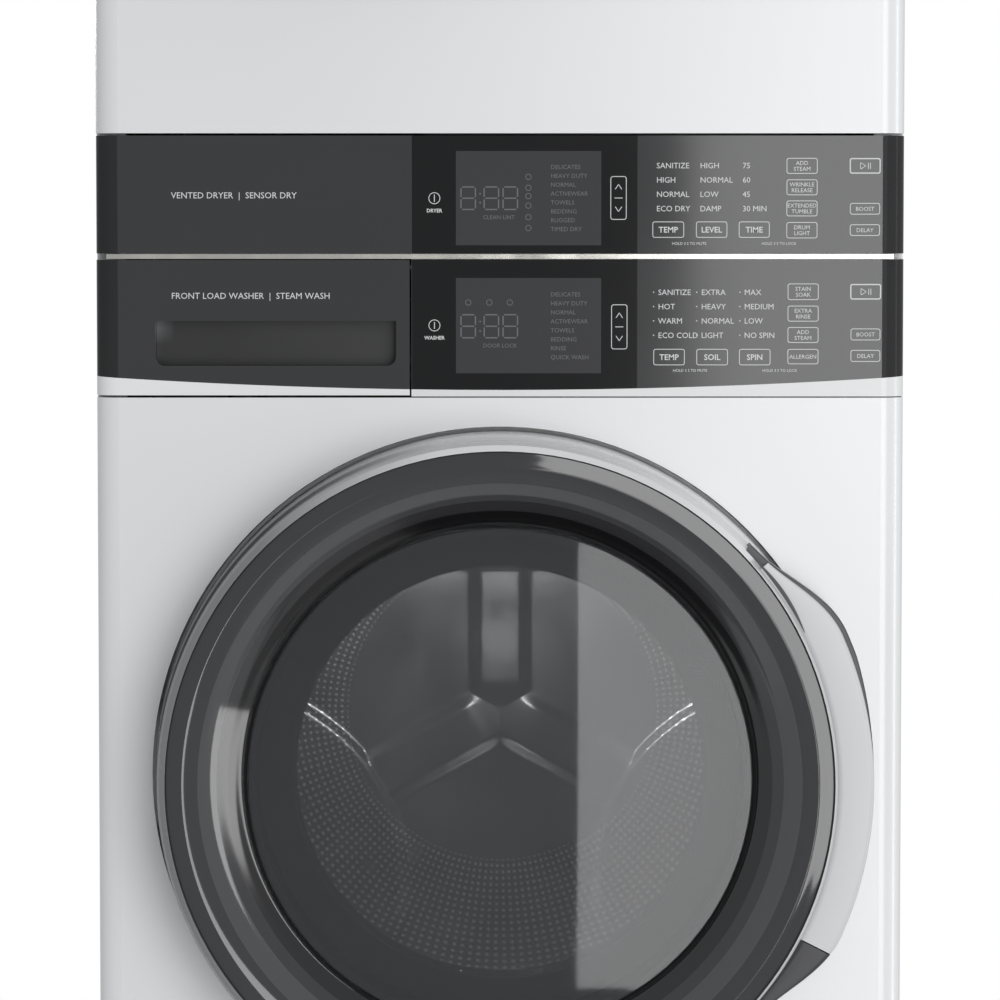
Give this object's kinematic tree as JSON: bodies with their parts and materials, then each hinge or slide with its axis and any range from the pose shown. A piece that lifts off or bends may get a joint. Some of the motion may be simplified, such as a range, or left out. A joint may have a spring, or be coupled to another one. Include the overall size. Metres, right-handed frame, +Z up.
{
  "type": "washer dryer stack",
  "caption": "Tall white laundry tower: a front-loading washer below a tumble dryer in one cabinet, with round smoked-glass doors, dark touch panels and a detergent drawer.",
  "frame": {"origin": "on the floor, under the middle of the overall width and depth", "axes": "+X to the right seen from the front, +Y from the front to the back, +Z up"},
  "size_m": [0.686, 0.806, 1.905],
  "materials": {
    "white_enamel": "gloss white enamel on sheet steel",
    "zinc_steel": "zinc-coated sheet steel",
    "white_plastic": "gloss white moulding",
    "grey_plastic": "grey filled polypropylene",
    "dark_glass": "gloss dark panel",
    "smoked_cover": "smoked see-through moulding",
    "clear_glass": "pressed glass bowl",
    "stainless": "stainless steel",
    "champagne": "satin anodised trim",
    "rubber": "grey moulded rubber",
    "casting": "die casting",
    "motor_steel": "laminated core and windings",
    "concrete": "cast concrete",
    "board_green": "circuit board"
  },
  "bodies": {
    "cabinet": {"back_panels": "zinc_steel", "base_pan": "zinc_steel", "blower_housing": "grey_plastic", "control_boards": "board_green", "counterweights": "concrete", "dispenser_housing": "grey_plastic", "door_gasket": "rubber", "door_hinges": "stainless", "door_locks": "grey_plastic", "drain_pump": "grey_plastic", "dryer_belt": "rubber", "dryer_fascia": "dark_glass", "dryer_front_bulkhead": "grey_plastic", "dryer_front_panel": "white_enamel", "dryer_motor": "motor_steel", "dryer_rear_bulkhead": "zinc_steel", "exhaust_duct": "zinc_steel", "hoses": "rubber", "middle_deck": "zinc_steel", "panel_housings": "white_plastic", "side_panels": "white_enamel", "suspension": "zinc_steel", "toe_panel": "white_enamel", "top_panel": "white_enamel", "trim_strip": "champagne", "tub_front": "grey_plastic", "tub_rear": "grey_plastic", "washer_bearings": "motor_steel", "washer_fascia": "dark_glass", "washer_front_panel": "white_enamel", "washer_stator": "motor_steel", "water_valves": "grey_plastic"},
    "washer_door": {"washer_door_bowl": "clear_glass", "washer_door_cover": "smoked_cover", "washer_door_grip": "white_plastic", "washer_door_hinge_pin": "stainless", "washer_door_inner_frame": "grey_plastic", "washer_door_outer_ring": "white_plastic"},
    "dryer_door": {"dryer_door_bowl": "clear_glass", "dryer_door_cover": "smoked_cover", "dryer_door_grip": "white_plastic", "dryer_door_hinge_pin": "stainless", "dryer_door_inner_frame": "grey_plastic", "dryer_door_outer_ring": "white_plastic"},
    "drawer": {"drawer_front": "dark_glass", "drawer_box": "white_plastic"},
    "washer_drum": {"washer_drum": "stainless", "washer_vanes": "grey_plastic", "washer_spider": "casting", "washer_rotor": "motor_steel"},
    "dryer_drum": {"dryer_drum": "stainless"},
    "dryer_rotor": {"dryer_motor_shaft": "stainless", "blower_wheel": "grey_plastic"},
    "roller_left": {"roller_left": "grey_plastic"},
    "roller_right": {"roller_right": "grey_plastic"},
    "lint_filter": {"lint_filter": "grey_plastic"},
    "foot_front_left": {"foot_front_left": "grey_plastic"},
    "foot_front_right": {"foot_front_right": "grey_plastic"},
    "foot_back_left": {"foot_back_left": "grey_plastic"},
    "foot_back_right": {"foot_back_right": "grey_plastic"}
  },
  "joints": [
    {"name": "washer_door_hinge", "type": "hinge", "parent": "cabinet", "child": "washer_door", "pos_m": [-0.27, -0.36, 0.471], "axis": [0, 0, -1], "range_deg": [0, 130]},
    {"name": "dryer_door_hinge", "type": "hinge", "parent": "cabinet", "child": "dryer_door", "pos_m": [-0.27, -0.36, 1.455], "axis": [0, 0, -1], "range_deg": [0, 130]},
    {"name": "drawer_slide", "type": "slide", "parent": "cabinet", "child": "drawer", "axis": [0, -1, 0], "range_m": [0, 0.26]},
    {"name": "washer_drum_spin", "type": "hinge", "parent": "cabinet", "child": "washer_drum", "pos_m": [0, 0, 0.471], "axis": [0, 1, 0], "continuous": true},
    {"name": "dryer_drum_spin", "type": "hinge", "parent": "cabinet", "child": "dryer_drum", "pos_m": [0, 0, 1.455], "axis": [0, 1, 0], "continuous": true},
    {"name": "dryer_motor_spin", "type": "hinge", "parent": "cabinet", "child": "dryer_rotor", "pos_m": [0.15, 0, 1.01], "axis": [0, 1, 0], "continuous": true},
    {"name": "roller_left_spin", "type": "hinge", "parent": "cabinet", "child": "roller_left", "pos_m": [-0.19697, 0.284, 1.1737], "axis": [0, 1, 0], "continuous": true},
    {"name": "roller_right_spin", "type": "hinge", "parent": "cabinet", "child": "roller_right", "pos_m": [0.19697, 0.284, 1.1737], "axis": [0, 1, 0], "continuous": true},
    {"name": "lint_filter_slide", "type": "slide", "parent": "cabinet", "child": "lint_filter", "axis": [0, 0, 1], "range_m": [0, 0.15]},
    {"name": "foot_front_left_screw", "type": "slide", "parent": "cabinet", "child": "foot_front_left", "axis": [0, 0, 1], "range_m": [-0.015, 0]},
    {"name": "foot_front_right_screw", "type": "slide", "parent": "cabinet", "child": "foot_front_right", "axis": [0, 0, 1], "range_m": [-0.015, 0]},
    {"name": "foot_back_left_screw", "type": "slide", "parent": "cabinet", "child": "foot_back_left", "axis": [0, 0, 1], "range_m": [-0.015, 0]},
    {"name": "foot_back_right_screw", "type": "slide", "parent": "cabinet", "child": "foot_back_right", "axis": [0, 0, 1], "range_m": [-0.015, 0]}
  ],
  "couplings": [
    {"joint": "dryer_motor_spin", "follows": "dryer_drum_spin", "ratio": 22.714},
    {"joint": "roller_left_spin", "follows": "dryer_drum_spin", "ratio": -12.72},
    {"joint": "roller_right_spin", "follows": "dryer_drum_spin", "ratio": -12.72}
  ]
}
